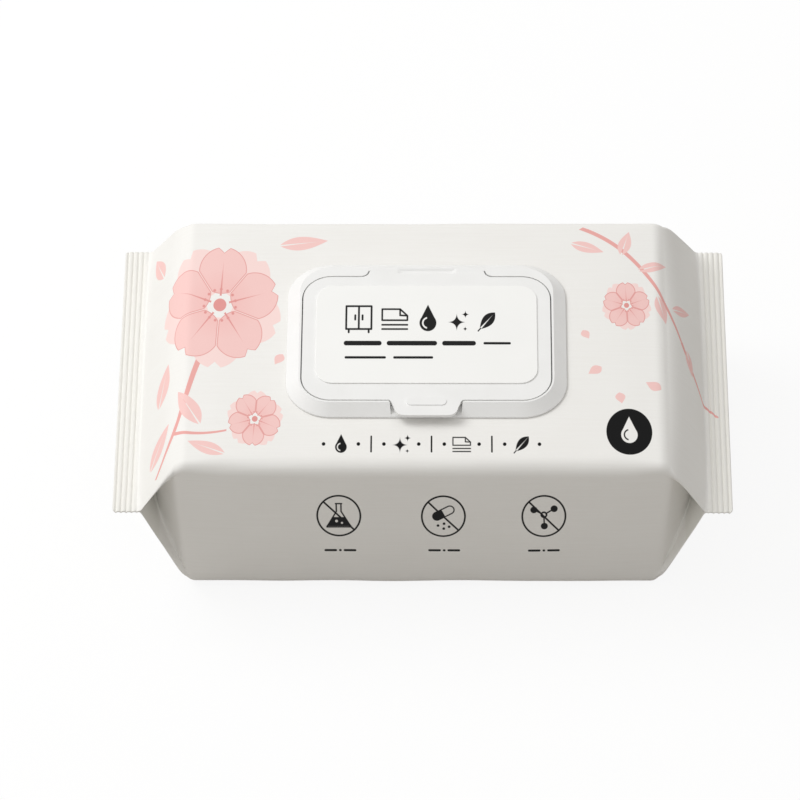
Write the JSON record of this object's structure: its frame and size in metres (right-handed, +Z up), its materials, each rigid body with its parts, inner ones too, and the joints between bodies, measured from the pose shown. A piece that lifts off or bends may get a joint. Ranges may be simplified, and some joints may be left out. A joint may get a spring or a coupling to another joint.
{
  "type": "wet wipes pack",
  "caption": "Sealed film pouch of wet wipes with crimped end seals and a flat dispenser on top, whose flip lid swings back on a living hinge.",
  "frame": {"origin": "middle of the footprint, on the flat underside that the pack lies on", "axes": "+X along the pack from end seal to end seal, -Y towards the front with the lid's thumb tab, +Z up out of the lid"},
  "size_m": [0.222, 0.124, 0.0732],
  "materials": {
    "printed_film": "matte white laminated film with fine print",
    "lid_moulding": "white moulded plastic with a satin surface",
    "label_stock": "smooth white label stock",
    "seal_film": "smooth resealable sticker"
  },
  "bodies": {
    "pack": {"film_pouch": "printed_film", "lid_frame": "lid_moulding", "peel_seal": "seal_film"},
    "lid": {"flip_lid": "lid_moulding", "lid_label": "label_stock"}
  },
  "joints": [
    {"name": "lid_hinge", "type": "hinge", "parent": "pack", "child": "lid", "pos_m": [0.0013, 0.02975, 0.0727], "axis": [-1, 0, 0], "range_deg": [0, 170]}
  ]
}
